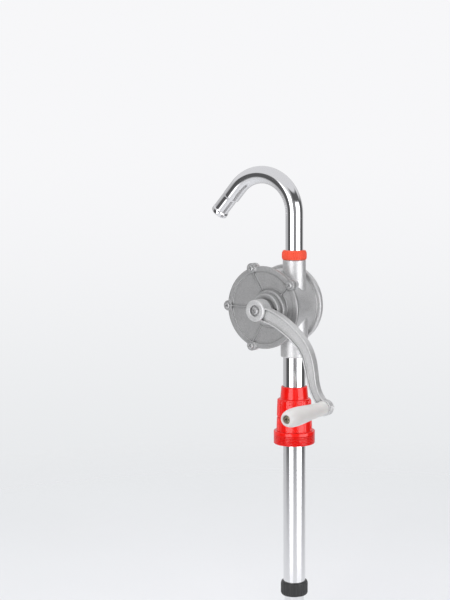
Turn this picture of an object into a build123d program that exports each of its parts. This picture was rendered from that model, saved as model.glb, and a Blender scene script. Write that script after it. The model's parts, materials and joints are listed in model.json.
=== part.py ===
from build123d import *
import math
import os

# Rotary hand pump for a drum. Millimetres, +Z up, the crank faces -Y and the spout points to -X.
# Origin: on the suction tube's axis, in the plane where the bung adapter's flange seats on the drum.

# ---- driving dimensions ----------------------------------------------------------------------
drum_x = -30.0            # centre of the pump chamber, from the tube axis
drum_z = 179.0            # height of the chamber's centre over the bung seat
shaft_x = -16.3           # the crankshaft is eccentric to the chamber
chamber_r = 47.0
wall_r = 52.0
cover_r = 59.0            # front cover's rim
flange_r = 58.0           # casing's back flange
body_front_y = -33.0      # joint face of the casing
chamber_back_y = 26.0
body_back_y = 34.0

gasket_t = 0.5
cover_t = 4.5
cover_back_y = body_front_y - gasket_t
cover_front_y = cover_back_y - cover_t
cover_face_y = cover_front_y + 1.5     # the middle of the cover is sunk inside its rim
cover_face_r = 51.5
rib_height = 2.2
boss_front_y = -44.0

lug_count = 5
lug_angle = 36.0
lug_circle_r = 58.0
lug_r = 7.5
lug_front_y = cover_front_y - 1.6
lug_back_y = body_front_y + 7.0
screw_r = 2.5
screw_head_r = 4.4
screw_head_t = 2.8

shaft_r = 8.0
running_gap = 0.05
bush_r = 11.0
rear_boss_r = 16.0
rear_boss_y = 41.0
bush_back_y = 37.0
seal_back_y = -40.0        # the front bush ends and the seal's pocket begins
seal_front_y = -42.5
seal_r = bush_r + 1.5
gland_r = 22.3
gland_front_y = -52.0
gland_nose_r = 13.0
gland_nose_y = -55.6

rotor_r = chamber_r - (shaft_x - drum_x) - 0.1
rotor_front_y = body_front_y + 0.1
rotor_back_y = chamber_back_y - 0.3
vane_count = 4
vane_t = 4.0
vane_low_r = 18.0
slot_low_r = 11.5
key_w = 5.0

port_r = 16.6             # outlet boss
port_top_z = 246.3
neck_r = 14.6
neck_top_z = 253.6
inlet_r = 19.6            # inlet boss
inlet_low_z = 106.7
tube_seat_z = 131.0

spout_r = 12.5
spout_bore_r = 11.0
spout_low_z = 234.0
bend_z = 311.0
bend_r = 55.0
bend_angle = 137.5
spout_tail = 52.0          # straight length past the bend
swage_length = 32.0
tail_r = 11.5
mouth_r = 9.9

tube_r = 16.0             # outer suction tube, 32 mm
tube_wall = 1.5
tube_low_z = -235.0
middle_r = 14.2
middle_low_z = -268.0
middle_length = 350.0
inner_r = 12.4
inner_low_z = -294.0
inner_length = 342.0
inner_wall = 1.3

thread_r = 29.8           # G2 bung thread
thread_low_z = -19.0
adapter_top_z = 19.0
nut_low_z = 19.3
nut_top_z = 64.0

crank_hub_r = 15.4
hub_front_y = -78.0
hub_back_y = -58.0
counterbore_r = 7.7
screw_seat_y = -73.5
grip_x = 90.3             # crank pin
grip_z = 51.7
grip_boss_r = 11.0
grip_boss_front_y = -70.4
grip_boss_back_y = -59.0
grip_front_y = -164.5
grip_root_y = -70.8


# ---- shared shapes ---------------------------------------------------------------------------
def front_plane(x, y, z):
    """A plane that faces the crank side: its X is the pump's X and its Y is the pump's Z."""
    return Plane(origin=(x, y, z), x_dir=(1, 0, 0), z_dir=(0, -1, 0))


def turned_upright(points):
    """A solid turned about the suction tube's axis, from (radius, z) points."""
    with BuildPart() as solid:
        with BuildSketch(front_plane(0, 0, 0)):
            with BuildLine():
                Polyline(*points, close=True)
            make_face()
        revolve(axis=Axis.Z)
    return solid.part


def turned_across(points, x, z):
    """A solid turned about a line along Y through (x, z), from (radius, y) points."""
    with BuildPart() as solid:
        with BuildSketch(Plane.XY.offset(z)):
            with BuildLine():
                Polyline(*[(x + radius, y) for radius, y in points], close=True)
            make_face()
        revolve(axis=Axis((x, 0, z), (0, 1, 0)))
    return solid.part


def sleeve_upright(outer, inner, low, high):
    return turned_upright([(inner, low), (outer, low), (outer, high), (inner, high)])


def sleeve_across(outer, inner, front, back, x=shaft_x, z=drum_z):
    return turned_across([(inner, front), (outer, front), (outer, back), (inner, back)], x, z)


def rod_across(radius, front, back, x=shaft_x, z=drum_z):
    return turned_across([(0, front), (radius, front), (radius, back), (0, back)], x, z)


def lug_ring(radius, front, back):
    """Round pads, one at each cover screw."""
    with BuildPart() as pads:
        with BuildSketch(front_plane(drum_x, back, drum_z)):
            with PolarLocations(lug_circle_r, lug_count, start_angle=lug_angle):
                Circle(radius)
        extrude(amount=back - front)
    return pads.part


# ---- casing ----------------------------------------------------------------------------------
def make_pump_body():
    with BuildPart() as casing:
        add(rod_across(wall_r, body_front_y, chamber_back_y, drum_x))
        add(turned_across([(0, chamber_back_y), (flange_r - 1.2, chamber_back_y),
                           (flange_r, chamber_back_y + 1.2), (flange_r, body_back_y), (0, body_back_y)],
                          drum_x, drum_z))
        with BuildSketch(front_plane(drum_x, body_front_y + 3.5, drum_z)):
            Circle(wall_r + 3.2)
        extrude(amount=3.5)
        add(lug_ring(lug_r, body_front_y, lug_back_y))
        add(rod_across(rear_boss_r, body_back_y, rear_boss_y))
        # outlet and inlet bosses on the tube axis
        add(turned_upright([(0, drum_z), (port_r, drum_z), (port_r, port_top_z - 0.8),
                            (port_r - 0.8, port_top_z), (neck_r, port_top_z),
                            (neck_r, neck_top_z), (0, neck_top_z)]))
        add(turned_upright([(0, inlet_low_z), (inlet_r - 1.0, inlet_low_z), (inlet_r, inlet_low_z + 1.0),
                            (inlet_r, drum_z), (0, drum_z)]))
        # chamber, ports and bearing seat
        add(rod_across(chamber_r, body_front_y, chamber_back_y, drum_x), mode=Mode.SUBTRACT)
        add(turned_upright([(0, drum_z + 15), (spout_bore_r, drum_z + 15), (spout_bore_r, spout_low_z),
                            (spout_r + running_gap, spout_low_z), (spout_r + running_gap, neck_top_z),
                            (0, neck_top_z)]), mode=Mode.SUBTRACT)
        add(turned_upright([(0, inlet_low_z), (tube_r, inlet_low_z), (tube_r, tube_seat_z),
                            (tube_r - 2.5, tube_seat_z), (tube_r - 2.5, drum_z - 15), (0, drum_z - 15)]),
            mode=Mode.SUBTRACT)
        add(rod_across(bush_r, chamber_back_y, bush_back_y), mode=Mode.SUBTRACT)
        add(lug_ring(screw_r, body_front_y, lug_back_y - 2), mode=Mode.SUBTRACT)
    return casing.part


with BuildPart() as pump_body:
    add(make_pump_body())
pump_body.part.label = "pump_body"
export_step(pump_body.part, "parts/pump_body.step")


# ---- cover: rim, sunk face, ribs to the screws, stepped gland boss ---------------------------
def cover_ribs():
    """Thin ribs from the gland boss to the rim, one towards each screw."""
    with BuildPart() as ribs:
        for i in range(lug_count):
            angle = math.radians(lug_angle + 360 / lug_count * i)
            rim = Vector(drum_x + cover_face_r * math.cos(angle), 0, cover_face_r * math.sin(angle))
            run = rim - Vector(shaft_x, 0, 0)
            along = Plane(origin=(shaft_x, cover_face_y, drum_z), x_dir=run, z_dir=(0, -1, 0))
            with BuildSketch(along):
                with Locations((run.length / 2, 0)):
                    Rectangle(run.length + 1, 2.6)
            extrude(amount=rib_height, taper=12)
    return ribs.part


with BuildPart() as front_cover:
    add(rod_across(cover_r, cover_front_y, cover_back_y, drum_x))
    chamfer(front_cover.faces().sort_by(Axis.Y)[0].edges(), length=0.7)
    add(lug_ring(lug_r, lug_front_y, cover_back_y))
    fillet(front_cover.faces().sort_by(Axis.Y)[:lug_count].edges(), radius=1.0)
    add(rod_across(cover_face_r, lug_front_y, cover_face_y, drum_x), mode=Mode.SUBTRACT)
    add(cover_ribs())
    add(turned_across([(0, cover_back_y), (27.5, cover_back_y), (27.5, cover_face_y),
                       (26.0, boss_front_y + 0.8), (25.2, boss_front_y), (0, boss_front_y)],
                      shaft_x, drum_z))
    add(rod_across(bush_r, boss_front_y, cover_back_y), mode=Mode.SUBTRACT)
    add(rod_across(seal_r, boss_front_y, seal_back_y), mode=Mode.SUBTRACT)
    add(lug_ring(screw_r + 0.2, lug_front_y, cover_back_y), mode=Mode.SUBTRACT)
front_cover.part.label = "front_cover"
export_step(front_cover.part, "parts/front_cover.step")

with BuildPart() as cover_gasket:
    add(rod_across(wall_r + 3.0, cover_back_y, body_front_y, drum_x))
    add(lug_ring(lug_r - 0.2, cover_back_y, body_front_y))
    add(rod_across(chamber_r, cover_back_y, body_front_y, drum_x), mode=Mode.SUBTRACT)
    add(lug_ring(screw_r + 0.2, cover_back_y, body_front_y), mode=Mode.SUBTRACT)
cover_gasket.part.label = "cover_gasket"
export_step(cover_gasket.part, "parts/cover_gasket.step")

with BuildPart() as cover_screws:
    with BuildSketch(front_plane(drum_x, lug_back_y - 2.5, drum_z)):
        with PolarLocations(lug_circle_r, lug_count, start_angle=lug_angle):
            Circle(screw_r)
    extrude(amount=lug_back_y - 2.5 - lug_front_y)
    with BuildSketch(front_plane(drum_x, lug_front_y, drum_z)):
        with PolarLocations(lug_circle_r, lug_count, start_angle=lug_angle):
            Circle(screw_head_r)
    extrude(amount=screw_head_t)
    fillet(cover_screws.faces().sort_by(Axis.Y)[:lug_count].edges(), radius=1.4)
    with BuildSketch(front_plane(drum_x, lug_front_y - screw_head_t, drum_z)):
        with PolarLocations(lug_circle_r, lug_count, start_angle=lug_angle):
            Rectangle(4.6, 1.0)
            Rectangle(1.0, 4.6)
    extrude(amount=-1.4, mode=Mode.SUBTRACT)
cover_screws.part.label = "cover_screws"
export_step(cover_screws.part, "parts/cover_screws.step")

# ---- shaft, bushes, seal and gland -----------------------------------------------------------
with BuildPart() as shaft:
    add(rod_across(shaft_r, hub_back_y, bush_back_y - 0.5))
    with BuildSketch(front_plane(shaft_x, hub_back_y, drum_z)):
        Rectangle(10, 10)
    extrude(amount=15)
    add(rod_across(3.0, hub_front_y, hub_back_y - 2), mode=Mode.SUBTRACT)
    with BuildSketch(front_plane(shaft_x, 12, drum_z)):
        with Locations((0, shaft_r)):
            Rectangle(key_w, key_w)
    extrude(amount=30, mode=Mode.SUBTRACT)
shaft.part.label = "shaft"
export_step(shaft.part, "parts/shaft.step")

with BuildPart() as front_bush:
    add(sleeve_across(bush_r, shaft_r + running_gap, seal_back_y, cover_back_y))
front_bush.part.label = "front_bush"
export_step(front_bush.part, "parts/front_bush.step")

with BuildPart() as rear_bush:
    add(sleeve_across(bush_r, shaft_r + running_gap, chamber_back_y, bush_back_y))
rear_bush.part.label = "rear_bush"
export_step(rear_bush.part, "parts/rear_bush.step")

with BuildPart() as shaft_seal:
    add(sleeve_across(seal_r, shaft_r + running_gap, seal_front_y, seal_back_y))
shaft_seal.part.label = "shaft_seal"
export_step(shaft_seal.part, "parts/shaft_seal.step")

with BuildPart() as gland_nut:
    add(turned_across([(shaft_r + running_gap, seal_front_y), (seal_r - running_gap, seal_front_y),
                       (seal_r - running_gap, boss_front_y), (gland_r, boss_front_y),
                       (gland_r - 0.3, gland_front_y + 1.0), (gland_r - 1.3, gland_front_y),
                       (gland_nose_r, gland_front_y), (gland_nose_r, gland_nose_y + 0.8),
                       (gland_nose_r - 0.8, gland_nose_y), (shaft_r + running_gap, gland_nose_y)],
                      shaft_x, drum_z))
    # two holes for a pin spanner
    with BuildSketch(front_plane(shaft_x, gland_front_y, drum_z)):
        with PolarLocations(18.0, 2):
            Circle(1.6)
    extrude(amount=-4.0, mode=Mode.SUBTRACT)
gland_nut.part.label = "gland_nut"
export_step(gland_nut.part, "parts/gland_nut.step")


# ---- rotor, key, vanes and their springs -----------------------------------------------------
def vane_slabs(width, low, high, front, back):
    """One slab for each vane, from radius low to radius high."""
    with BuildPart() as slabs:
        with BuildSketch(front_plane(shaft_x, back, drum_z)):
            with PolarLocations((low + high) / 2, vane_count, start_angle=45):
                Rectangle(high - low, width)
        extrude(amount=back - front)
    return slabs.part


with BuildPart() as rotor:
    add(sleeve_across(rotor_r, shaft_r, rotor_front_y, rotor_back_y))
    add(vane_slabs(vane_t + 0.1, slot_low_r, rotor_r + 1, rotor_front_y, rotor_back_y), mode=Mode.SUBTRACT)
    with BuildSketch(front_plane(shaft_x, 12, drum_z)):
        with Locations((0, shaft_r)):
            Rectangle(key_w, key_w)
    extrude(amount=30, mode=Mode.SUBTRACT)
rotor.part.label = "rotor"
export_step(rotor.part, "parts/rotor.step")

with BuildPart() as rotor_key:
    with BuildSketch(front_plane(shaft_x, 12, drum_z)):
        with Locations((0, shaft_r)):
            Rectangle(key_w, key_w)
    extrude(amount=30)
rotor_key.part.label = "rotor_key"
export_step(rotor_key.part, "parts/rotor_key.step")

with BuildPart() as vanes:
    add(vane_slabs(vane_t, vane_low_r, rotor_r - 0.3, rotor_front_y + 0.1, rotor_back_y - 0.1))
    fillet(vanes.edges().filter_by(Axis.Y).sort_by_distance((shaft_x, 0, drum_z))[-2 * vane_count:],
           radius=1.2)
vanes.part.label = "vanes"
export_step(vanes.part, "parts/vanes.step")


def vane_spring(x, y, z, direction):
    """A compression spring in the bottom of a vane's slot."""
    with BuildPart() as spring:
        with BuildLine():
            wire = Helix(pitch=1.4, height=5.6, radius=1.5, center=(x, y, z), direction=direction)
        with BuildSketch(Plane(origin=wire @ 0, z_dir=wire % 0)):
            Circle(0.3)
        sweep(path=wire)
    return spring.part


with BuildPart() as vane_springs:
    for i in range(vane_count):
        lean = math.radians(45 + 360 / vane_count * i)
        out = Vector(math.cos(lean), 0, math.sin(lean))
        for spring_y in (-20, 12):
            foot = Vector(shaft_x, spring_y, drum_z) + out * (slot_low_r + 0.4)
            add(vane_spring(foot.X, foot.Y, foot.Z, out))
vane_springs.part.label = "vane_springs"
export_step(vane_springs.part, "parts/vane_springs.step")

# ---- spout, its sealing washer and the union collar ------------------------------------------
bend_end = (-bend_r + bend_r * math.cos(math.radians(bend_angle)),
            bend_z + bend_r * math.sin(math.radians(bend_angle)))
tail_dir = (-math.sin(math.radians(bend_angle)), math.cos(math.radians(bend_angle)))
shoulder = spout_tail - swage_length
shoulder_at = (bend_end[0] + tail_dir[0] * shoulder, bend_end[1] + tail_dir[1] * shoulder)
tail_plane = Plane(origin=(shoulder_at[0], 0, shoulder_at[1]), x_dir=(0, 1, 0),
                   z_dir=(tail_dir[0], 0, tail_dir[1]))
tail_side = Plane(origin=tail_plane.origin, x_dir=(0, 1, 0), z_dir=tail_plane.x_dir.cross(tail_plane.z_dir))

with BuildPart() as spout:
    with BuildLine(front_plane(0, 0, 0)) as spout_path:
        Line((0, spout_low_z + 0.1), (0, bend_z))
        JernArc((0, bend_z), (0, 1), bend_r, bend_angle)
        Line(bend_end, shoulder_at)
    with BuildSketch(Plane.XY.offset(spout_low_z + 0.1)):
        Circle(spout_r)
        Circle(spout_bore_r, mode=Mode.SUBTRACT)
    sweep(path=spout_path.line)
    # swaged hose tail with a bead at its mouth: (radius, distance from the shoulder)
    with BuildSketch(tail_side):
        with BuildLine():
            Polyline((spout_bore_r, 0), (spout_r, 0), (tail_r, 1.8), (tail_r, swage_length - 7.0),
                     (tail_r + 0.5, swage_length - 6.4), (spout_r, swage_length - 5.8),
                     (spout_r, swage_length - 0.6), (spout_r - 0.6, swage_length),
                     (mouth_r, swage_length), (mouth_r, 1.8), close=True)
        make_face()
    revolve(axis=Axis(tail_plane.origin, tail_plane.z_dir))
    # bead that the collar holds down
    add(sleeve_upright(14.0, 12.0, neck_top_z + 1.2, neck_top_z + 3.0))
spout.part.label = "spout"
export_step(spout.part, "parts/spout.step")

with BuildPart() as spout_seal:
    add(sleeve_upright(14.2, spout_r + running_gap, neck_top_z, neck_top_z + 1.2))
spout_seal.part.label = "spout_seal"
export_step(spout_seal.part, "parts/spout_seal.step")

collar_low_z = port_top_z + 0.1
collar_top_z = 259.5
with BuildPart() as spout_collar:
    add(turned_upright([(neck_r + 0.3, collar_low_z), (17.3, collar_low_z), (17.8, collar_low_z + 0.7),
                        (16.8, collar_top_z - 1.2), (15.8, collar_top_z), (spout_r + 0.3, collar_top_z),
                        (spout_r + 0.3, 256.9), (neck_r + 0.3, 256.9)]))
    with BuildSketch(Plane.XY.offset(collar_low_z + 1.2)):
        with PolarLocations(16.9, 40):
            Circle(0.8)
    extrude(amount=9.8)
    add(sleeve_upright(neck_r + 0.3, spout_r + 0.3, collar_low_z, 256.9), mode=Mode.SUBTRACT)
spout_collar.part.label = "spout_collar"
export_step(spout_collar.part, "parts/spout_collar.step")

# ---- telescopic suction tube -----------------------------------------------------------------
with BuildPart() as suction_tube:
    add(sleeve_upright(tube_r, tube_r - tube_wall, tube_low_z, tube_seat_z))
suction_tube.part.label = "suction_tube"
export_step(suction_tube.part, "parts/suction_tube.step")

with BuildPart() as middle_tube:
    add(sleeve_upright(middle_r, middle_r - tube_wall, middle_low_z, middle_low_z + middle_length))
middle_tube.part.label = "middle_tube"
export_step(middle_tube.part, "parts/middle_tube.step")

with BuildPart() as inner_tube:
    add(sleeve_upright(inner_r, inner_r - inner_wall, inner_low_z, inner_low_z + inner_length))
inner_tube.part.label = "inner_tube"
export_step(inner_tube.part, "parts/inner_tube.step")


def tube_lock(outer, end_z, holds, slides):
    """A knurled end collar: it holds a tube's end and guides the thinner tube inside it."""
    with BuildPart() as lock:
        add(turned_upright([(slides + 0.3, end_z - 8), (outer - 1.0, end_z - 8), (outer, end_z - 7),
                            (outer, end_z + 11), (outer - 1.0, end_z + 12), (holds, end_z + 12),
                            (holds, end_z), (holds - 0.3, end_z), (holds - 0.3, end_z - 4),
                            (slides + 0.3, end_z - 4)]))
        with BuildSketch(Plane.XY.offset(end_z - 6)):
            with PolarLocations(outer, 24):
                Circle(0.9)
        extrude(amount=16)
    return lock.part


with BuildPart() as tube_lock_upper:
    add(tube_lock(19.0, tube_low_z, tube_r, middle_r))
tube_lock_upper.part.label = "tube_lock_upper"
export_step(tube_lock_upper.part, "parts/tube_lock_upper.step")

with BuildPart() as tube_lock_lower:
    add(tube_lock(17.2, middle_low_z, middle_r, inner_r))
tube_lock_lower.part.label = "tube_lock_lower"
export_step(tube_lock_lower.part, "parts/tube_lock_lower.step")

with BuildPart() as lock_seal_upper:
    add(sleeve_upright(tube_r - 0.3, middle_r + running_gap, tube_low_z - 4, tube_low_z))
lock_seal_upper.part.label = "lock_seal_upper"
export_step(lock_seal_upper.part, "parts/lock_seal_upper.step")

with BuildPart() as lock_seal_lower:
    add(sleeve_upright(middle_r - 0.3, inner_r + running_gap, middle_low_z - 4, middle_low_z))
lock_seal_lower.part.label = "lock_seal_lower"
export_step(lock_seal_lower.part, "parts/lock_seal_lower.step")

# ---- strainer: socket, cage with a stand-off foot, and the wire mesh inside it ----------------
strainer_top_z = inner_low_z + 14
strainer_low_z = -336.0
foot_z = strainer_low_z + 8
strainer_r = 17.0
with BuildPart() as strainer_body:
    add(turned_upright([(inner_r - inner_wall, inner_low_z - 2), (inner_r - inner_wall, inner_low_z),
                        (inner_r, inner_low_z), (inner_r, strainer_top_z),
                        (14.6, strainer_top_z), (strainer_r, inner_low_z - 2), (strainer_r, strainer_low_z),
                        (strainer_r - 2, strainer_low_z), (strainer_r - 2, foot_z), (6.0, foot_z),
                        (6.0, foot_z + 2), (strainer_r - 2, foot_z + 2), (strainer_r - 2, inner_low_z - 2)]))
    for turn in range(4):
        with BuildSketch(Plane.XZ.rotated((0, 0, 45 * turn)).offset(-20)):
            with Locations((0, inner_low_z - 18)):
                SlotOverall(24, 7.0, rotation=90)
        extrude(amount=40, mode=Mode.SUBTRACT)
        with BuildSketch(Plane.XZ.rotated((0, 0, 45 * turn + 22.5)).offset(-20)):
            with Locations((0, strainer_low_z)):
                Rectangle(6.5, 8.0)
        extrude(amount=40, mode=Mode.SUBTRACT)
strainer_body.part.label = "strainer_body"
export_step(strainer_body.part, "parts/strainer_body.step")

with BuildPart() as strainer_mesh:
    add(sleeve_upright(strainer_r - 2.1, strainer_r - 2.6, foot_z + 2, inner_low_z - 2))
strainer_mesh.part.label = "strainer_mesh"
export_step(strainer_mesh.part, "parts/strainer_mesh.step")

# ---- bung adapter, grip ring and clamp nut ---------------------------------------------------
adapter_bore_r = tube_r + 0.4
with BuildPart() as bung_adapter:
    add(turned_upright([(adapter_bore_r, thread_low_z), (thread_r - 1.2, thread_low_z),
                        (thread_r, thread_low_z + 1.2), (thread_r, 0), (25.4, 0), (24.4, adapter_top_z),
                        (19.6, adapter_top_z), (19.6, 39.0), (adapter_bore_r, 39.0)]))
    with BuildSketch(Plane.XY):
        with PolarLocations(24.4, 10, start_angle=18):
            Rectangle(2.6, 5.4)
    extrude(amount=adapter_top_z - 0.4, taper=1.5)
    fillet(bung_adapter.edges().filter_by(GeomType.CIRCLE).filter_by_position(Axis.Z, 38.9, 39.1)[:1],
           radius=0.5)
bung_adapter.part.label = "bung_adapter"
export_step(bung_adapter.part, "parts/bung_adapter.step")

with BuildPart() as clamp_nut:
    add(turned_upright([(20.0, nut_low_z), (24.3, nut_low_z), (23.2, 46.4), (20.4, 46.8), (20.0, 47.4),
                        (18.8, nut_top_z - 0.6), (18.2, nut_top_z), (adapter_bore_r, nut_top_z),
                        (adapter_bore_r, 52.0), (20.0 - 1.2, 47.0), (20.0, 45.0)]))
    with BuildSketch(Plane.XY.offset(nut_low_z)):
        with PolarLocations(23.2, 10, start_angle=18):
            Rectangle(3.2, 5.4)
    extrude(amount=26.0, taper=1.5)
    add(sleeve_upright(20.0, 1.0, nut_low_z, 45.0), mode=Mode.SUBTRACT)
clamp_nut.part.label = "clamp_nut"
export_step(clamp_nut.part, "parts/clamp_nut.step")

with BuildPart() as clamp_ring:
    add(turned_upright([(tube_r + running_gap, 39.0), (18.6, 39.0), (18.6, 44.5), (18.2, 46.4),
                        (tube_r + running_gap + 0.6, 50.5), (tube_r + running_gap, 50.5)]))
clamp_ring.part.label = "clamp_ring"
export_step(clamp_ring.part, "parts/clamp_ring.step")


# ---- crank: hub, swept channel arm, boss for the grip ----------------------------------------
arm_run = Vector(grip_x - shaft_x, 0, grip_z - drum_z)
# the arm's centreline: (x, height over the bung seat, half width)
arm_line = [(-14.0, 175.5, 10.0), (9.0, 169.8, 9.8), (41.0, 150.4, 9.0), (61.9, 126.3, 8.3),
            (69.4, 100.0, 7.7), (73.6, 79.5, 6.6), (86.0, 58.3, 6.4)]


def arm_edge(side, inset):
    """Points along one edge of the arm, moved in towards its centreline by inset."""
    points = []
    for i, (x, height, half_width) in enumerate(arm_line):
        before = arm_line[max(i - 1, 0)]
        after = arm_line[min(i + 1, len(arm_line) - 1)]
        along = Vector(after[0] - before[0], after[1] - before[1]).normalized()
        reach = side * (half_width - inset)
        points.append((x - along.Y * reach, height + along.X * reach))
    return points


def arm_slab(inset, front_hub, front_grip, back_hub, back_grip):
    """The arm's outline between a front and a back face, which both lean back towards the grip."""
    with BuildPart() as slab:
        with BuildSketch(front_plane(0, 0, 0)):
            with BuildLine():
                low = Spline(*arm_edge(-1, inset))
                high = Spline(*arm_edge(1, inset))
                Line(low @ 0, high @ 0)
                Line(low @ 1, high @ 1)
            make_face()
        extrude(amount=110)
        side = Plane(origin=(shaft_x, 0, drum_z), x_dir=arm_run.normalized(),
                     z_dir=arm_run.cross(Vector(0, 1, 0)))
        with BuildSketch(side):
            with BuildLine():
                Polyline((-30, front_hub), (40, front_hub), (arm_run.length + 20, front_grip),
                         (arm_run.length + 20, back_grip), (-30, back_hub), close=True)
            make_face()
        extrude(amount=100, both=True, mode=Mode.INTERSECT)
    return slab.part


with BuildPart() as crank_arm:
    add(arm_slab(0, -74.6, -69.4, -63.0, -59.6))
    add(arm_slab(2.0, -90, -90, -72.6, -67.4), mode=Mode.SUBTRACT)
    add(turned_across([(0, hub_back_y), (crank_hub_r - 0.6, hub_back_y), (crank_hub_r, hub_back_y - 0.6),
                       (crank_hub_r, hub_front_y + 1.8), (crank_hub_r - 0.5, hub_front_y + 0.6),
                       (crank_hub_r - 1.8, hub_front_y), (0, hub_front_y)], shaft_x, drum_z))
    add(turned_across([(0, grip_boss_back_y), (grip_boss_r - 1.0, grip_boss_back_y),
                       (grip_boss_r, grip_boss_back_y - 1.0), (grip_boss_r, grip_boss_front_y),
                       (0, grip_boss_front_y)], grip_x, grip_z))
    with BuildSketch(front_plane(shaft_x, hub_back_y, drum_z)):
        Rectangle(10.04, 10.04)
    extrude(amount=15.5, mode=Mode.SUBTRACT)
    add(rod_across(counterbore_r, hub_front_y, screw_seat_y), mode=Mode.SUBTRACT)
    add(rod_across(3.2, hub_front_y, hub_back_y), mode=Mode.SUBTRACT)
    add(rod_across(4.0, -76, grip_boss_back_y, grip_x, grip_z), mode=Mode.SUBTRACT)
crank_arm.part.label = "crank_arm"
export_step(crank_arm.part, "parts/crank_arm.step")

with BuildPart() as crank_washer:
    add(sleeve_across(7.2, 3.2, screw_seat_y - 1.2, screw_seat_y))
crank_washer.part.label = "crank_washer"
export_step(crank_washer.part, "parts/crank_washer.step")

with BuildPart() as crank_screw:
    add(turned_across([(0, -61), (3.0, -61), (3.0, -74.7), (5.4, -74.7), (5.4, -77.4), (4.2, -78.6),
                       (0, -78.9)], shaft_x, drum_z))
    with BuildSketch(front_plane(shaft_x, -79, drum_z)):
        RegularPolygon(2.4, 6)
    extrude(amount=-2.4, mode=Mode.SUBTRACT)
crank_screw.part.label = "crank_screw"
export_step(crank_screw.part, "parts/crank_screw.step")

# ---- turning grip on its bolt ----------------------------------------------------------------
with BuildPart() as grip:
    with BuildSketch(Plane.XY.offset(grip_z)):
        with BuildLine():
            Line((grip_x + 4.1, grip_root_y), (grip_x + 9.4, grip_root_y))
            Line((grip_x + 9.4, grip_root_y), (grip_x + 10.0, grip_root_y - 0.8))
            Spline((grip_x + 10.0, grip_root_y - 0.8), (grip_x + 9.6, -88), (grip_x + 11.0, -112),
                   (grip_x + 12.5, -140), (grip_x + 11.2, -157), (grip_x + 6.8, grip_front_y),
                   tangents=((0, -1), (-1, -0.15)))
            Line((grip_x + 6.8, grip_front_y), (grip_x + 5.6, grip_front_y + 0.4))
            Line((grip_x + 5.6, grip_front_y + 0.4), (grip_x + 5.6, -158))
            Line((grip_x + 5.6, -158), (grip_x + 4.1, -158))
            Line((grip_x + 4.1, -158), (grip_x + 4.1, grip_root_y))
        make_face()
    revolve(axis=Axis((grip_x, 0, grip_z), (0, 1, 0)))
grip.part.label = "grip"
export_step(grip.part, "parts/grip.step")

with BuildPart() as grip_bolt:
    add(turned_across([(0, -51), (4.0, -51), (4.0, -158.3), (5.2, -158.3), (5.2, -161.6), (4.2, -162.6),
                       (0, -162.9)], grip_x, grip_z))
    with BuildSketch(front_plane(grip_x, -163, grip_z)):
        Rectangle(6.4, 1.2)
        Rectangle(1.2, 6.4)
    extrude(amount=-2.4, mode=Mode.SUBTRACT)
grip_bolt.part.label = "grip_bolt"
export_step(grip_bolt.part, "parts/grip_bolt.step")

with BuildPart() as grip_nut:
    with BuildSketch(front_plane(grip_x, -52.6, grip_z)):
        RegularPolygon(7.2, 6)
        Circle(4.0, mode=Mode.SUBTRACT)
    extrude(amount=-52.6 - grip_boss_back_y)
grip_nut.part.label = "grip_nut"
export_step(grip_nut.part, "parts/grip_nut.step")
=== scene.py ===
import json
import math

import bmesh
import bpy
import numpy as np
from mathutils import Matrix, Vector, noise


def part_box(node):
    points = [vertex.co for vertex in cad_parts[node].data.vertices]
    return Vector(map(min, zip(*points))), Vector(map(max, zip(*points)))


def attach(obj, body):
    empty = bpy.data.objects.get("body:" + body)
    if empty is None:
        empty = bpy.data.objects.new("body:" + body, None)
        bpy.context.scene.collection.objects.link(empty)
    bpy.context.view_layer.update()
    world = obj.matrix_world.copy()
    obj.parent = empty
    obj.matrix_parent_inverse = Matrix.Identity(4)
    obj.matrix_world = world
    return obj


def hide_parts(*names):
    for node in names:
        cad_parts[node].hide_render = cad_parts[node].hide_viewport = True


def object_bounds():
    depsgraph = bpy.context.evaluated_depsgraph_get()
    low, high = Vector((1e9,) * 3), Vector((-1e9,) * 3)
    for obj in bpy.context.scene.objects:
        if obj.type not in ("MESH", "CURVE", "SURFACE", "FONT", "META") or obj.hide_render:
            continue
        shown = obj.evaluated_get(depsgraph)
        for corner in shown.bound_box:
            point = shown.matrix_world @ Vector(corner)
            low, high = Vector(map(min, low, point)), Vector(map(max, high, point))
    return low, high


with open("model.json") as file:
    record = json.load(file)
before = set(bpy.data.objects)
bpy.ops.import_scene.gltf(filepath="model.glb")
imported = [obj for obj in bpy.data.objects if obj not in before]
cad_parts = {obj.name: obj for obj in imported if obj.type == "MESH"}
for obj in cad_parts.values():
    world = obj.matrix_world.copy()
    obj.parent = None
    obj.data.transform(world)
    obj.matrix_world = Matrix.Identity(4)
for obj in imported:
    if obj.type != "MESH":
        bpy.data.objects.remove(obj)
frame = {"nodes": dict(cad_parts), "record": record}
cad_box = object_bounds()
nodes = frame["nodes"]
mm = 0.001

# ---- camera: the pump seen from the front, a little from the right and above ------------------
target = Vector((0.0, 0.0, 0.181))
azimuth = math.radians(32.08)
elevation = math.radians(6.23)
distance = 1.8778
back = Vector((math.sin(azimuth) * math.cos(elevation), -math.cos(azimuth) * math.cos(elevation),
               math.sin(elevation)))
camera_data = bpy.data.cameras.new("camera")
camera_data.sensor_width = 36.0
camera_data.lens = 78.92
camera_data.shift_x = -0.1155
camera_data.shift_y = 0.0084
camera_data.clip_end = 50.0
camera = bpy.data.objects.new("camera", camera_data)
camera.location = target + back * distance
camera.rotation_euler = back.to_track_quat("Z", "Y").to_euler()
bpy.context.scene.collection.objects.link(camera)
bpy.context.scene.camera = camera


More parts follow.
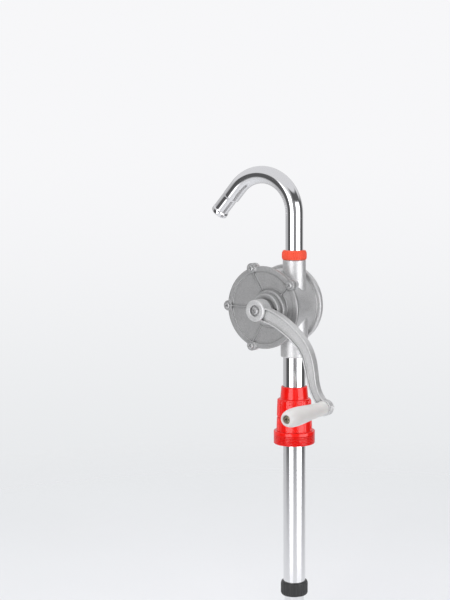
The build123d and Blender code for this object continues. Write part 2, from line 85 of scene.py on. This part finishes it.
# ---- soft studio: two tall softboxes and an overhead one, with darker gaps between them ---------
def softbox(name, bearing, spread, radius, low, high, radiance):
    """A tall softbox that stands round the object at a bearing from +X, spread degrees to each side."""
    place = Vector((math.cos(math.radians(bearing)), math.sin(math.radians(bearing)), 0)) * radius
    place.z = (low + high) / 2
    data = bpy.data.lights.new(name, "AREA")
    data.shape = "RECTANGLE"
    data.size = 2 * radius * math.tan(math.radians(spread))
    data.size_y = high - low
    data.energy = radiance * math.pi * data.size * data.size_y
    lamp = bpy.data.objects.new(name, data)
    lamp.location = place
    lamp.rotation_euler = Vector((place.x, place.y, 0)).to_track_quat("Z", "Y").to_euler()
    lamp.visible_glossy = False
    bpy.context.scene.collection.objects.link(lamp)


softbox("front_softbox", -90.5, 18.5, 2.2, -0.6, 1.9, 2.0)
softbox("side_softbox", -5.5, 24.0, 2.2, -0.6, 1.9, 1.15)

overhead_data = bpy.data.lights.new("overhead", "AREA")
overhead_data.size = 2.0
overhead_data.energy = 1.5 * math.pi * overhead_data.size ** 2
overhead = bpy.data.objects.new("overhead", overhead_data)
overhead.location = (-0.2, -0.5, 2.6)
overhead.visible_glossy = False
bpy.context.scene.collection.objects.link(overhead)

world = bpy.data.worlds.new("studio")
world.use_nodes = True
bpy.context.scene.world = world
sky = world.node_tree
sky.nodes.clear()


def sky_node(kind, **settings):
    node = sky.nodes.new(kind)
    for key, value in settings.items():
        setattr(node, key, value)
    return node


def sky_range(value, low, high, to_low=0.0, to_high=1.0):
    node = sky_node("ShaderNodeMapRange", interpolation_type="SMOOTHSTEP")
    for socket, number in zip(("From Min", "From Max", "To Min", "To Max"), (low, high, to_low, to_high)):
        node.inputs[socket].default_value = number
    sky.links.new(value, node.inputs["Value"])
    return node.outputs[0]


def sky_mix(factor, first, second):
    node = sky_node("ShaderNodeMix", data_type="RGBA")
    sky.links.new(factor, node.inputs["Factor"])
    for socket, colour in ((node.inputs["A"], first), (node.inputs["B"], second)):
        if isinstance(colour, tuple):
            socket.default_value = (*colour, 1)
        else:
            sky.links.new(colour, socket)
    return node.outputs["Result"]


direction = sky_node("ShaderNodeSeparateXYZ")
sky.links.new(sky_node("ShaderNodeTexCoord").outputs["Generated"], direction.inputs[0])
bearing = sky_node("ShaderNodeMath", operation="ARCTAN2")
sky.links.new(direction.outputs["Y"], bearing.inputs[0])
sky.links.new(direction.outputs["X"], bearing.inputs[1])
turn = sky_node("ShaderNodeMapRange")
turn.inputs["From Min"].default_value = -math.pi
turn.inputs["From Max"].default_value = math.pi
sky.links.new(bearing.outputs[0], turn.inputs["Value"])


def by_bearing(levels):
    """Brightness of the room by bearing, as (share of a turn from -X, level) stops."""
    band = sky_node("ShaderNodeValToRGB")
    sky.links.new(turn.outputs[0], band.inputs["Fac"])
    while len(band.color_ramp.elements) < len(levels):
        band.color_ramp.elements.new(0.5)
    for element, (place, level) in zip(band.color_ramp.elements, levels):
        element.position = place
        element.color = (level, level, level * 1.02, 1)
    return band.outputs["Color"]


def wall_levels(softbox_level):
    return [(0.0, 0.55), (0.07, 0.52), (0.105, 0.09), (0.19, 0.13), (0.215, softbox_level), (0.295, softbox_level),
            (0.31, 0.3), (0.41, 0.34), (0.425, softbox_level), (0.545, softbox_level), (0.57, 0.14), (0.68, 0.09),
            (0.72, 0.55), (0.96, 0.58)]


softbox_seen = 3.2
walls = sky_mix(sky_node("ShaderNodeLightPath").outputs["Is Glossy Ray"], by_bearing(wall_levels(0.9)),
                by_bearing(wall_levels(softbox_seen)))
# above the softboxes the room is dark on the front and right, and pale on the left
upper = by_bearing([(0.0, 0.8), (0.30, 0.8), (0.36, 0.12), (0.60, 0.12), (0.66, 0.8)])
up = direction.outputs["Z"]
room = sky_mix(sky_range(up, 0.26, 0.40), walls, upper)
room = sky_mix(sky_range(up, 0.60, 0.70), room, (0.80, 0.80, 0.82))
room = sky_mix(sky_range(up, -0.30, -0.55), room, (0.62, 0.62, 0.63))
backdrop = sky_mix(sky_range(up, -0.28, 0.02), (0.80, 0.815, 0.83), (0.93, 0.93, 0.945))
seen = sky_mix(sky_node("ShaderNodeLightPath").outputs["Is Camera Ray"], room, backdrop)
light = sky_node("ShaderNodeBackground")
sky.links.new(seen, light.inputs["Color"])
sky.links.new(light.outputs[0], sky_node("ShaderNodeOutputWorld").inputs["Surface"])
bpy.context.scene.view_settings.view_transform = "Standard"


# ---- materials -------------------------------------------------------------------------------
class Shader:
    """A principled material with helpers for the procedural detail that is mixed into it."""

    def __init__(self, name, color, metallic, roughness, **sockets):
        self.material = bpy.data.materials.new(name)
        self.material.use_nodes = True
        self.tree = self.material.node_tree
        self.bsdf = self.tree.nodes["Principled BSDF"]
        self.color = color
        self.bsdf.inputs["Base Color"].default_value = (*color, 1)
        self.bsdf.inputs["Metallic"].default_value = metallic
        self.bsdf.inputs["Roughness"].default_value = roughness
        for socket, value in sockets.items():
            self.bsdf.inputs[socket.replace("_", " ")].default_value = value
        self.coords = self.tree.nodes.new("ShaderNodeTexCoord")
        self.height = None

    def noise(self, scale, detail=3.0, stretch=(1, 1, 1), distortion=0.0):
        mapping = self.tree.nodes.new("ShaderNodeMapping")
        mapping.inputs["Scale"].default_value = stretch
        texture = self.tree.nodes.new("ShaderNodeTexNoise")
        texture.inputs["Scale"].default_value = scale
        texture.inputs["Detail"].default_value = detail
        texture.inputs["Distortion"].default_value = distortion
        self.tree.links.new(self.coords.outputs["Object"], mapping.inputs["Vector"])
        self.tree.links.new(mapping.outputs[0], texture.inputs["Vector"])
        return texture.outputs["Fac"]

    def remap(self, value, low, high, to_low, to_high):
        node = self.tree.nodes.new("ShaderNodeMapRange")
        node.inputs["From Min"].default_value = low
        node.inputs["From Max"].default_value = high
        node.inputs["To Min"].default_value = to_low
        node.inputs["To Max"].default_value = to_high
        self.tree.links.new(value, node.inputs["Value"])
        return node.outputs[0]

    def tint(self, value, darkest, lightest):
        """Colour that runs from the base colour times darkest to the base colour times lightest."""
        ramp_node = self.tree.nodes.new("ShaderNodeValToRGB")
        for element, level in zip(ramp_node.color_ramp.elements, (darkest, lightest)):
            element.color = (*[min(1.0, c * level) for c in self.color], 1)
        ramp_node.color_ramp.elements[0].position = 0.3
        ramp_node.color_ramp.elements[1].position = 0.7
        self.tree.links.new(value, ramp_node.inputs["Fac"])
        self.tree.links.new(ramp_node.outputs["Color"], self.bsdf.inputs["Base Color"])

    def paint_corner_shade(self, reach, shade, alone=True):
        """Painted shade in corners, darkening the base colour out to reach in metres: the piece's own ones, if alone.
        """
        corners = self.tree.nodes.new("ShaderNodeAmbientOcclusion")
        corners.only_local = alone
        corners.samples = 8
        corners.inputs["Distance"].default_value = reach
        mix = self.tree.nodes.new("ShaderNodeMix")
        mix.data_type = "RGBA"
        self.tree.links.new(self.remap(corners.outputs["AO"], 0.35, 0.95, 0.0, 1.0), mix.inputs["Factor"])
        mix.inputs["A"].default_value = (*[c * shade for c in self.color], 1)
        self.tree.links.new(self.bsdf.inputs["Base Color"].links[0].from_socket, mix.inputs["B"])
        self.tree.links.new(mix.outputs["Result"], self.bsdf.inputs["Base Color"])

    def rough(self, value, low, high):
        self.tree.links.new(self.remap(value, 0.3, 0.7, low, high), self.bsdf.inputs["Roughness"])

    def bump(self, value, depth, strength=1.0):
        """Relief of the given depth in metres, on top of the relief added before."""
        node = self.tree.nodes.new("ShaderNodeBump")
        node.inputs["Strength"].default_value = strength
        node.inputs["Distance"].default_value = depth
        self.tree.links.new(value, node.inputs["Height"])
        if self.height:
            self.tree.links.new(self.height, node.inputs["Normal"])
        self.height = node.outputs[0]
        self.tree.links.new(self.height, self.bsdf.inputs["Normal"])


def cast_metal(name, color, metallic, roughness, grain_depth, shade_reach=0.004, alone=True):
    s = Shader(name, color, metallic, roughness)
    s.tint(s.noise(700, 6), 0.88, 1.12)
    # painted shade: the base colour is darkened in corners, and near other pieces too when not alone
    s.paint_corner_shade(shade_reach, 0.25, alone)
    s.rough(s.noise(260, 3), roughness - 0.07, roughness + 0.08)
    s.bump(s.noise(420, 2), 0.0005, 0.2)
    s.bump(s.noise(1500, 3), grain_depth, 0.6)
    return s.material


def chrome_plate():
    s = Shader("chrome_plate", (0.80, 0.80, 0.81), 1.0, 0.06)
    s.rough(s.noise(60, 4, (1, 1, 0.15)), 0.05, 0.11)
    s.bump(s.noise(900, 2, (1, 1, 0.08)), 0.00002, 0.05)
    return s.material


def steel(name, color, roughness):
    s = Shader(name, color, 1.0, roughness)
    s.tint(s.noise(700, 4), 0.85, 1.1)
    # painted shade: the base colour is darkened in the piece's small corners
    s.paint_corner_shade(0.0015, 0.35)
    s.rough(s.noise(1500, 3, (1, 6, 1)), roughness - 0.06, roughness + 0.1)
    s.bump(s.noise(3000, 2, (1, 5, 1)), 0.00004, 0.3)
    return s.material


def moulded(name, color, roughness, **sockets):
    s = Shader(name, color, 0.0, roughness, **sockets)
    s.tint(s.noise(40, 3), 0.95, 1.04)
    # painted shade: the base colour is darkened in the piece's corners
    s.paint_corner_shade(0.0018, 0.72)
    s.rough(s.noise(500, 4), roughness - 0.03, roughness + 0.05)
    s.bump(s.noise(220, 2), 0.0003, 0.04)
    return s.material


def rubber():
    s = Shader("black_rubber", (0.018, 0.018, 0.019), 0.0, 0.62)
    s.tint(s.noise(300, 4), 0.8, 1.5)
    s.bump(s.noise(2200, 3), 0.00006, 0.5)
    return s.material


looks = {
    "cast_aluminium": cast_metal("cast_aluminium", (0.62, 0.62, 0.62), 0.68, 0.44, 0.00020),
    "crank_aluminium": cast_metal("crank_aluminium", (0.64, 0.64, 0.64), 0.62, 0.42, 0.00012),
    "chrome_tube": chrome_plate(),
    "red_plastic": moulded("red_plastic", (0.87, 0.004, 0.0005), 0.15, Coat_Weight=0.2, Coat_Roughness=0.08),
    "collar_plastic": moulded("collar_plastic", (0.90, 0.085, 0.035), 0.38),
    "white_plastic": moulded("white_plastic", (0.68, 0.66, 0.645), 0.42, Subsurface_Weight=0.05),
    "steel": steel("steel", (0.62, 0.62, 0.62), 0.36),
    "zinc_steel": steel("zinc_steel", (0.36, 0.33, 0.24), 0.34),
    "bronze": steel("bronze", (0.62, 0.40, 0.18), 0.35),
    "black_rubber": rubber(),
    "vane_plastic": moulded("vane_plastic", (0.06, 0.05, 0.04), 0.5),
    "black_plastic": moulded("black_plastic", (0.022, 0.022, 0.023), 0.38),
}
# the cover is blasted darker than the casing, and the gland nut gets painted shade from the crank hub and other pieces
# within 10 mm
own_looks = {
    "front_cover": cast_metal("cast_cover", (0.42, 0.42, 0.42), 0.75, 0.42, 0.00024),
    "gland_nut": cast_metal("cast_gland", (0.50, 0.50, 0.50), 0.75, 0.42, 0.00020, 0.010, False),
}
slot_of = {sub["node"]: sub["material_slot"] for sub in frame["record"]["subparts"]}
for node_name, obj in nodes.items():
    obj.data.materials.clear()
    obj.data.materials.append(own_looks.get(node_name, looks[slot_of[node_name]]))

# ---- pieces made in mesh code: each stands for the CAD node it is named after -------------------
body_of = {node: body for body, members in frame["record"]["behaviour"]["bodies"].items() for node in members}


def stand_in(node, mesh, sharp_angle=None):
    """Shows mesh in place of a CAD node, with that node's body and material."""
    obj = bpy.data.objects.new(node + "_finished", mesh)
    bpy.context.scene.collection.objects.link(obj)
    mesh.shade_smooth()
    if sharp_angle:
        mesh.set_sharp_from_angle(angle=math.radians(sharp_angle))
    mesh.materials.clear()
    mesh.materials.append(own_looks.get(node, looks[slot_of[node]]))
    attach(obj, body_of[node])
    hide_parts(node)
    return obj


def as_mesh(name, shape):
    bmesh.ops.remove_doubles(shape, verts=shape.verts, dist=0.001 * mm)
    bmesh.ops.recalc_face_normals(shape, faces=shape.faces)
    mesh = bpy.data.meshes.new(name)
    shape.to_mesh(mesh)
    shape.free()
    return mesh


def rounded(outline, steps=5):
    """Points of a closed outline given as (radius, height, corner radius), with the corners rounded."""
    points = []
    for i, (radius, height, corner) in enumerate(outline):
        tip = Vector((radius, height))
        to_last = Vector(outline[i - 1][:2]) - tip
        to_next = Vector(outline[(i + 1) % len(outline)][:2]) - tip
        reach = min(corner, 0.48 * to_last.length, 0.48 * to_next.length)
        if reach == 0:
            points.append(tip)
            continue
        start = tip + to_last.normalized() * reach
        end = tip + to_next.normalized() * reach
        for k in range(steps + 1):
            t = k / steps
            points.append(start * (1 - t) ** 2 + tip * 2 * t * (1 - t) + end * t ** 2)
    return points


def divided(points, step):
    """The closed outline with its long stretches cut into pieces no longer than step."""
    result = []
    for i, point in enumerate(points):
        run = points[(i + 1) % len(points)] - point
        cuts = max(1, math.ceil(run.length / step))
        result += [point + run * (k / cuts) for k in range(cuts)]
    return result


def smooth_through(points, cuts=8):
    """A smooth curve through (radius, height) points, as (radius, height, 0) outline entries."""
    ends = [points[0]] + list(points) + [points[-1]]
    result = []
    for a, b, c, d in zip(ends, ends[1:], ends[2:], ends[3:]):
        for k in range(cuts):
            t = k / cuts
            weights = (-t + 2 * t * t - t ** 3, 2 - 5 * t * t + 3 * t ** 3,
                       t + 4 * t * t - 3 * t ** 3, -t * t + t ** 3)
            result.append(tuple(sum(w * p[i] for w, p in zip(weights, (a, b, c, d))) / 2
                                for i in range(2)) + (0,))
    return result + [(*points[-1], 0)]


def turned(node, outline, step=4.0, segments=160, shape=None, centre=(0, 0), along_y=False):
    """A turned piece from a closed outline in mm. shape(radius, height, angle) may change the radius.
    The axis is vertical, or runs along Y through centre, an (x, z) point in mm."""
    points = divided(rounded(outline), step)
    form = bmesh.new()
    rings = []
    for turn in range(segments):
        angle = 2 * math.pi * turn / segments
        ring = []
        for radius, height in points:
            if shape:
                radius = shape(radius, height, angle)
            x, y = radius * math.cos(angle), radius * math.sin(angle)
            place = (centre[0] + x, height, centre[1] + y) if along_y else (x, y, height)
            ring.append(form.verts.new(Vector(place) * mm))
        rings.append(ring)
    for turn in range(segments):
        here, there = rings[turn], rings[(turn + 1) % segments]
        for i in range(len(points)):
            j = (i + 1) % len(points)
            form.faces.new((here[i], there[i], there[j], here[j]))
    return stand_in(node, as_mesh(node, form))


def ramp(value, low, high):
    """0 below low, 1 above high and smooth between them."""
    t = min(1.0, max(0.0, (value - low) / (high - low)))
    return t * t * (3 - 2 * t)


def rib(angle, count, share, edge):
    """Height from 0 to 1 of count ribs spread round a piece: share is a rib's part of its pitch."""
    t = abs((angle * count / (2 * math.pi)) % 1.0 - 0.5) * 2
    return 1 - ramp(t, share - edge, share + edge)


def soft_copy(node, voxel, passes, relief=0.0, change=None, keep=1.0):
    """A CAD casting with real rounded edges and fillets: the node's mesh resampled on a fine grid and relaxed.
    relief is the depth in mm of its unevenness, all of it below the CAD surface, and change(point in mm)
    returns a shift in mm or None."""
    work = bpy.data.objects.new("work", nodes[node].data.copy())
    bpy.context.scene.collection.objects.link(work)
    form = bmesh.new()
    form.from_mesh(work.data)
    bmesh.ops.remove_doubles(form, verts=form.verts, dist=0.002 * mm)
    form.to_mesh(work.data)
    form.free()
    grid = work.modifiers.new("grid", "REMESH")
    grid.mode = "VOXEL"
    grid.voxel_size = voxel * mm
    relax = work.modifiers.new("relax", "SMOOTH")
    relax.factor = 0.5
    relax.iterations = passes
    if keep < 1.0:
        fewer = work.modifiers.new("fewer", "DECIMATE")
        fewer.ratio = keep
    mesh = bpy.data.meshes.new_from_object(work.evaluated_get(bpy.context.evaluated_depsgraph_get()))
    bpy.data.objects.remove(work)
    count = len(mesh.vertices)
    places, normals = np.empty(count * 3, np.float32), np.empty(count * 3, np.float32)
    mesh.vertices.foreach_get("co", places)
    mesh.vertices.foreach_get("normal", normals)
    places, normals = places.reshape(-1, 3), normals.reshape(-1, 3)
    for i, place in enumerate(places):
        point = Vector(place) / mm
        if relief:
            swell = noise.noise(point * 0.11) + 0.5 * noise.noise(point * 0.31) - 1.0
            places[i] += normals[i] * (relief * mm * swell)
        if change:
            shift = change(point)
            if shift:
                places[i] += np.array(shift) * mm
    mesh.vertices.foreach_set("co", places.ravel())
    return stand_in(node, mesh)


def box_mm(node):
    low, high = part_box(node)
    return low / mm, high / mm


def middle_of(node):
    """The (x, z) middle of a CAD node in mm."""
    low, high = box_mm(node)
    return (low.x + high.x) / 2, (low.z + high.z) / 2


# castings
grip_low, grip_high = box_mm("grip")
grip_centre = middle_of("grip")
crank_low, crank_high = box_mm("crank_arm")
boss_grooves = (-62.4, -66.4)


def groove_boss(point):
    """Turned grooves round the boss at the end of the crank arm."""
    out = Vector((point.x - grip_centre[0], 0, point.z - grip_centre[1]))
    if out.length < 9.6 or out.length > 11.6:
        return None
    depth = sum(1.0 * (1 - ramp(abs(point.y - groove), 0.3, 1.1)) for groove in boss_grooves)
    return -out.normalized() * depth


soft_copy("pump_body", 0.7, 4, relief=0.10)
soft_copy("front_cover", 0.45, 1, relief=0.06)
soft_copy("crank_arm", 0.42, 2, relief=0.05, change=groove_boss)
soft_copy("gland_nut", 0.4, 2, relief=0.03)
soft_copy("cover_screws", 0.3, 2)
soft_copy("crank_screw", 0.2, 2)
soft_copy("crank_washer", 0.2, 1)
soft_copy("grip_bolt", 0.25, 2)
soft_copy("grip_nut", 0.3, 2)
soft_copy("strainer_body", 0.45, 2, relief=0.02)

# chrome tubes with rolled ends
for tube in ("suction_tube", "middle_tube", "inner_tube"):
    low, high = box_mm(tube)
    outer = high.x
    wall = 1.3 if tube == "inner_tube" else 1.5
    turned(tube, [(outer, low.z, 0.5), (outer, high.z, 0.5), (outer - wall, high.z, 0.3),
                  (outer - wall, low.z, 0.3)], step=12.0, segments=128)

# spout: (distance along the centreline, outer radius) with its swaged tail
spout_low, spout_high = box_mm("spout")
tube_r = 12.5
bend_z, bend_r, bend_turn = 311.0, 55.0, math.radians(137.5)
upright = bend_z - spout_low.z
arc = bend_r * bend_turn
tail = 52.0
tail_inset = 32.0


def spout_station(distance):
    """Centre, outward normal and tangent of the spout's centreline, in mm, in the plane y = 0."""
    if distance < upright:
        return Vector((0, 0, spout_low.z + distance)), Vector((1, 0, 0))
    turn = min((distance - upright) / bend_r, bend_turn)
    out = Vector((math.cos(turn), 0, math.sin(turn)))
    centre = Vector((-bend_r, 0, bend_z)) + out * bend_r
    ahead = Vector((-math.sin(turn), 0, math.cos(turn)))
    return centre + ahead * max(0.0, distance - upright - arc), out


shoulder = upright + arc + tail - tail_inset
tip = upright + arc + tail
swage = [(0, 12.5), (6, 12.5), (shoulder - 2.2, 12.5), (shoulder - 1.2, 12.45), (shoulder - 0.3, 12.1),
         (shoulder + 0.6, 11.7), (shoulder + 1.6, 11.5), (tip - 7.6, 11.5), (tip - 7.0, 11.65), (tip - 6.4, 12.15),
         (tip - 5.8, 12.42), (tip - 5.2, 12.5), (tip - 1.1, 12.5), (tip - 0.5, 12.35), (tip - 0.12, 12.0), (tip, 11.5)]
shell = []
for (d0, r0), (d1, r1) in zip(swage, swage[1:]):
    cuts = max(1, math.ceil((d1 - d0) / 2.0))
    shell += [(d0 + (d1 - d0) * k / cuts, r0 + (r1 - r0) * k / cuts) for k in range(cuts)]
shell += [swage[-1], (tip, 10.3), (tip - 0.3, 9.95), (tip - 8, 9.9), (shoulder + 2, 9.9), (shoulder - 1, 11.0)]
shell += [(shoulder * k / 60, 11.0) for k in range(59, -1, -1)]
form = bmesh.new()
around = 96
loops = []
for distance, radius in shell:
    centre, out = spout_station(distance)
    in_tail = ramp(distance, shoulder - 2.0, shoulder + 1.0) * (1 - ramp(distance, tip - 7.6, tip - 5.2))
    centre = centre + out * (0.8 * in_tail)
    loops.append([form.verts.new((centre + (out * math.cos(a) + Vector((0, 1, 0)) * math.sin(a)) * radius) * mm)
                  for a in (2 * math.pi * k / around for k in range(around))])
for here, there in zip(loops, loops[1:] + loops[:1]):
    for k in range(around):
        j = (k + 1) % around
        form.faces.new((here[k], here[j], there[j], there[k]))
# the bead that the collar holds
bead_low = 254.8
spout_mesh = as_mesh("spout", form)
bead = bmesh.new()
bead.from_mesh(spout_mesh)
bead_points = [(12.4, 0.0), (13.5, 0.0), (13.9, 0.4), (13.9, 1.4), (13.5, 1.8), (12.4, 1.8)]
rings = [[bead.verts.new(Vector((r * math.cos(a), r * math.sin(a), bead_low + h)) * mm) for r, h in bead_points]
         for a in (2 * math.pi * k / around for k in range(around))]
for here, there in zip(rings, rings[1:] + rings[:1]):
    for i in range(len(bead_points)):
        j = (i + 1) % len(bead_points)
        bead.faces.new((here[i], there[i], there[j], here[j]))
stand_in("spout", as_mesh("spout", bead), sharp_angle=40)

# collar with fine grip ribs
collar_low, collar_high = box_mm("spout_collar")


def collar_ribs(radius, height, angle):
    band = ramp(height, collar_low.z + 0.9, collar_low.z + 2.2) * (1 - ramp(height, collar_high.z - 3.2, collar_high.z - 1.6))
    return radius + 0.8 * band * (rib(angle, 36, 0.45, 0.2) - 0.35) if radius > 16.2 else radius


turned("spout_collar", [(14.9, collar_low.z, 0.2), (17.2, collar_low.z, 0.7), (17.3, collar_low.z + 8.0, 2.0),
                        (16.6, collar_high.z - 0.6, 1.2), (15.6, collar_high.z, 0.6), (12.8, collar_high.z, 0.2),
                        (12.8, 256.9, 0.1), (14.9, 256.9, 0.1)], step=0.8, segments=360, shape=collar_ribs)

# turning grip
grip_x, grip_z = grip_centre
grip_curve = smooth_through([(10.0, -71.8), (9.75, -80.0), (9.65, -88.0), (10.1, -99.0), (11.0, -112.0),
                             (11.9, -126.0), (12.45, -140.0), (12.2, -150.0), (11.0, -157.5), (9.2, -162.2),
                             (7.3, -164.2)], cuts=6)
turned("grip", [(4.1, grip_high.y, 0.2), (9.5, grip_high.y, 0.5)] + grip_curve +
       [(6.6, grip_low.y, 0.4), (5.7, grip_low.y + 0.5, 0.4), (5.6, -158.0, 0.1), (4.1, -158.0, 0.1)],
       step=3.0, segments=128, centre=grip_centre, along_y=True)

# clamping nut: smooth cone, a step, wide ribs with a window between them
nut_low, nut_high = box_mm("clamp_nut")
ribs_round = 10


def nut_ribs(radius, height, angle):
    if radius < 21.5:
        return radius
    band = ramp(height, nut_low.z + 0.4, nut_low.z + 0.8) * (1 - ramp(height, 44.6, 45.6))
    raised = 1.7 * band * rib(angle, ribs_round, 0.34, 0.06)
    window = ramp(height, 39.2, 39.9) * (1 - ramp(height, 43.6, 44.3)) * rib(angle + math.pi / ribs_round, ribs_round, 0.26, 0.05)
    return radius + raised - 0.7 * window


turned("clamp_nut", [(20.0, nut_low.z, 0.3), (24.0, nut_low.z, 0.5), (22.9, 46.4, 0.9), (20.3, 46.8, 0.3),
                     (18.7, nut_high.z, 0.9), (16.4, nut_high.z, 0.6), (16.4, 52.0, 0.2), (18.8, 47.0, 0.2),
                     (20.0, 45.0, 0.2)], step=0.6, segments=400, shape=nut_ribs)

# bung adapter: threaded ring with a plain band, ribbed body
thread_pitch = 2.309
thread_depth = 1.1
thread_r = 29.8
thread_low, thread_high = -19.0, -4.4
adapter_low, adapter_high = box_mm("bung_adapter")


def adapter_form(radius, height, angle):
    if radius > 28.0 and height < -0.2:
        band = ramp(height, thread_low + 0.6, thread_low + 2.2) * (1 - ramp(height, thread_high - 1.4, thread_high))
        wave = 0.5 - 0.5 * math.cos(2 * math.pi * (height / thread_pitch + angle / (2 * math.pi)))
        return radius - thread_depth * band * ramp(wave, 0.12, 0.88)
    if radius > 23.0 and height > 0.1:
        band = 1 - ramp(height, 17.6, 18.6)
        return radius + 1.1 * band * rib(angle, ribs_round, 0.34, 0.06)
    return radius


turned("bung_adapter", [(16.4, thread_low, 0.3), (thread_r - 1.0, thread_low, 0.6), (thread_r, thread_low + 1.2, 0.5),
                        (thread_r, 0.0, 1.3), (25.0, 0.0, 0.5), (24.4, 19.0, 0.7), (19.6, 19.0, 0.3),
                        (19.6, adapter_high.z, 0.5), (16.4, adapter_high.z, 0.3)],
       step=0.23, segments=400, shape=adapter_form)

# end collars of the telescopic tubes
for lock, outer, holds, slides in (("tube_lock_upper", 19.0, 16.0, 14.2), ("tube_lock_lower", 17.2, 14.2, 12.4)):
    low, high = box_mm(lock)
    end = low.z + 8

    def lock_ribs(radius, height, angle, low=low.z, high=high.z, outer=outer):
        band = ramp(height, low + 1.5, low + 3.0) * (1 - ramp(height, high - 3.0, high - 1.5))
        return radius + 0.7 * band * rib(angle, 24, 0.4, 0.18) if radius > outer - 0.8 else radius

    turned(lock, [(slides + 0.3, low.z, 0.2), (outer - 0.9, low.z, 0.6), (outer, low.z + 1, 0.4),
                  (outer, high.z - 1, 0.4), (outer - 0.9, high.z, 0.6), (holds, high.z, 0.2), (holds, end, 0.1),
                  (holds - 0.3, end, 0.1), (holds - 0.3, end - 4, 0.1), (slides + 0.3, end - 4, 0.1)],
           step=1.0, segments=288, shape=lock_ribs)

# wire mesh inside the strainer
mesh_low, mesh_high = box_mm("strainer_mesh")
wires_round, wires_up = 60, 26
weave = bmesh.new()
rows = []
for level in range(wires_up + 1):
    height = mesh_low.z + (mesh_high.z - mesh_low.z) * level / wires_up
    rows.append([weave.verts.new(Vector((14.65 * math.cos(a), 14.65 * math.sin(a), height)) * mm)
                 for a in (2 * math.pi * k / wires_round for k in range(wires_round))])
for here, there in zip(rows, rows[1:]):
    for k in range(wires_round):
        j = (k + 1) % wires_round
        weave.faces.new((here[k], here[j], there[j], there[k]))
cloth = bpy.data.objects.new("cloth", as_mesh("cloth", weave))
bpy.context.scene.collection.objects.link(cloth)
wire = cloth.modifiers.new("wire", "WIREFRAME")
wire.thickness = 0.35 * mm
wire.use_even_offset = False
wire_mesh = bpy.data.meshes.new_from_object(cloth.evaluated_get(bpy.context.evaluated_depsgraph_get()))
bpy.data.objects.remove(cloth)
stand_in("strainer_mesh", wire_mesh)

# ---- floor: pale paper that fades into the backdrop away from the object -----------------------
floor_radius = 1.6
floor_mesh = bpy.data.meshes.new("floor")
floor_shape = bmesh.new()
bmesh.ops.create_circle(floor_shape, cap_ends=True, segments=128, radius=floor_radius)
floor_shape.to_mesh(floor_mesh)
floor_shape.free()
floor = bpy.data.objects.new("floor", floor_mesh)
floor.location = (0, 0, cad_box[0][2])
bpy.context.scene.collection.objects.link(floor)
paper = Shader("studio_paper", (0.86, 0.87, 0.885), 0.0, 0.9)
paper.tint(paper.noise(3, 2), 0.99, 1.01)
reach = paper.tree.nodes.new("ShaderNodeVectorMath")
reach.operation = "LENGTH"
paper.tree.links.new(paper.coords.outputs["Object"], reach.inputs[0])
paper.tree.links.new(paper.remap(reach.outputs["Value"], 0.25, 0.95 * floor_radius, 1.0, 0.0),
                     paper.bsdf.inputs["Alpha"])
floor.data.materials.append(paper.material)
